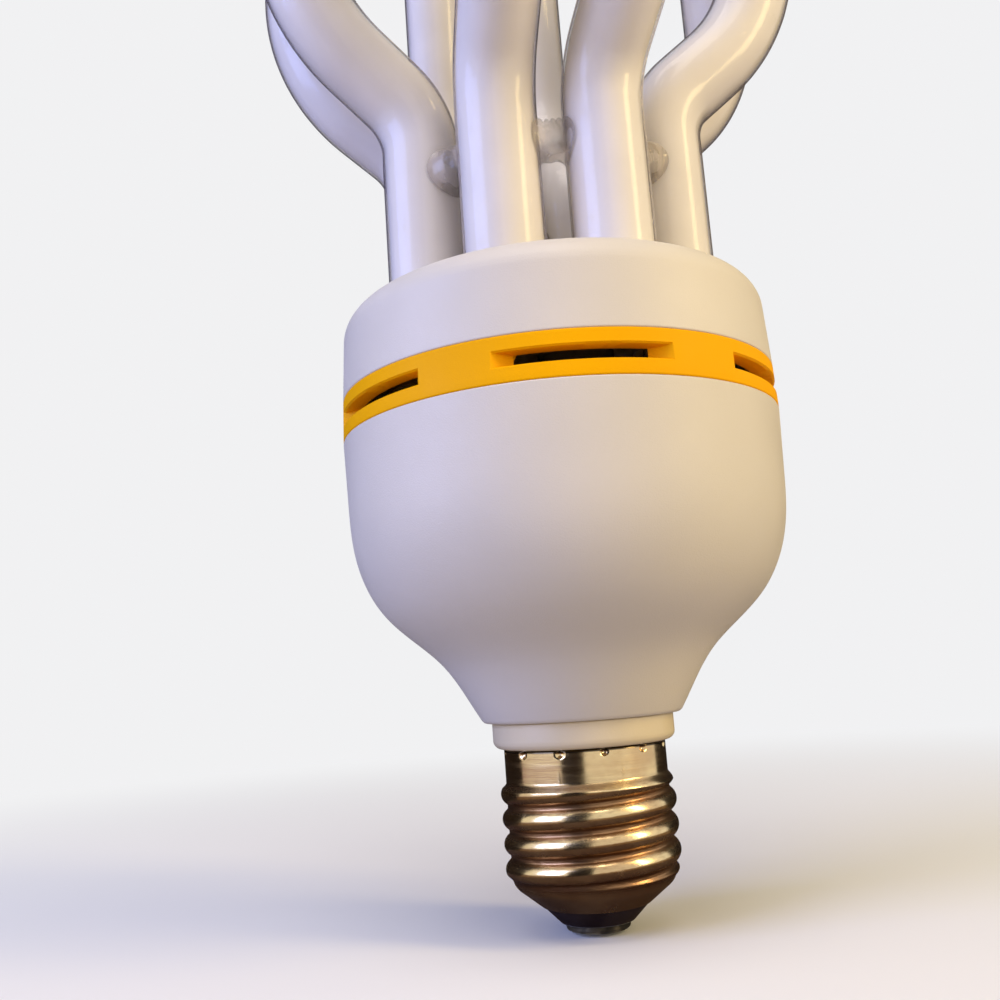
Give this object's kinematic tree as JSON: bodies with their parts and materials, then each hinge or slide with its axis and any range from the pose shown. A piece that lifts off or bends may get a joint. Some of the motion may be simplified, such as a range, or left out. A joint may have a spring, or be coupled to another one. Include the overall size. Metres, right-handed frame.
{
  "type": "tulip energy saving bulb",
  "caption": "Screw-cap energy saving lamp: white bell housing, orange vent ring, top cover and petals of bent glass tube like an opening tulip.",
  "frame": {"origin": "centre of the tip of the centre contact, on the lamp's axis", "axes": "+Z along the axis from the contact to the petals, -Y toward one petal (the front one in the picture), +X to its right"},
  "size_m": [0.0896, 0.0896, 0.198],
  "materials": {
    "cap_metal": "thin plated sheet with a warm tint, shiny",
    "contact_metal": "dull stamped disc",
    "solder_metal": "dull grey solder and tinned wire",
    "black_glass": "opaque black glass, glossy",
    "neck_plastic": "smooth white plastic, glossier than the housing",
    "housing_plastic": "white plastic with a fine matt texture",
    "ring_plastic": "satin orange-yellow plastic",
    "cement": "white cement",
    "tube_glass": "clear glass with a white coat inside",
    "clear_glass": "clear glass",
    "board_laminate": "tan paper laminate",
    "ferrite": "dark grey ferrite",
    "bobbin_plastic": "black moulding",
    "copper_wire": "lacquered copper wire",
    "can_sleeve": "dark shrink sleeve",
    "black_moulding": "black moulded resin",
    "dipped_resin": "dipped resin",
    "resistor_lacquer": "lacquered body",
    "lead_sleeve": "insulated lead"
  },
  "bodies": {
    "root": {"screw_shell": "cap_metal", "centre_contact": "contact_metal", "contact_solder": "solder_metal", "glass_button": "black_glass", "neck_bush": "neck_plastic", "lower_housing": "housing_plastic", "tube_holder": "housing_plastic", "vent_ring": "ring_plastic", "tube_cement": "cement", "petal_tube_front": "tube_glass", "petal_tube_right": "tube_glass", "petal_tube_back": "tube_glass", "petal_tube_left": "tube_glass", "glass_bridges": "clear_glass", "leg_spacers": "clear_glass", "ballast_board": "board_laminate", "wrap_pins": "solder_metal", "tube_leads": "solder_metal", "choke_core": "ferrite", "choke_bobbin": "bobbin_plastic", "choke_winding": "copper_wire", "bulk_capacitor": "can_sleeve", "driver_toroid": "ferrite", "toroid_windings": "copper_wire", "power_transistors": "black_moulding", "film_capacitors": "dipped_resin", "filter_coil": "ferrite", "rectifier_diodes": "black_moulding", "fuse_resistor": "resistor_lacquer", "contact_lead": "lead_sleeve", "shell_lead": "lead_sleeve"}
  },
  "joints": []
}
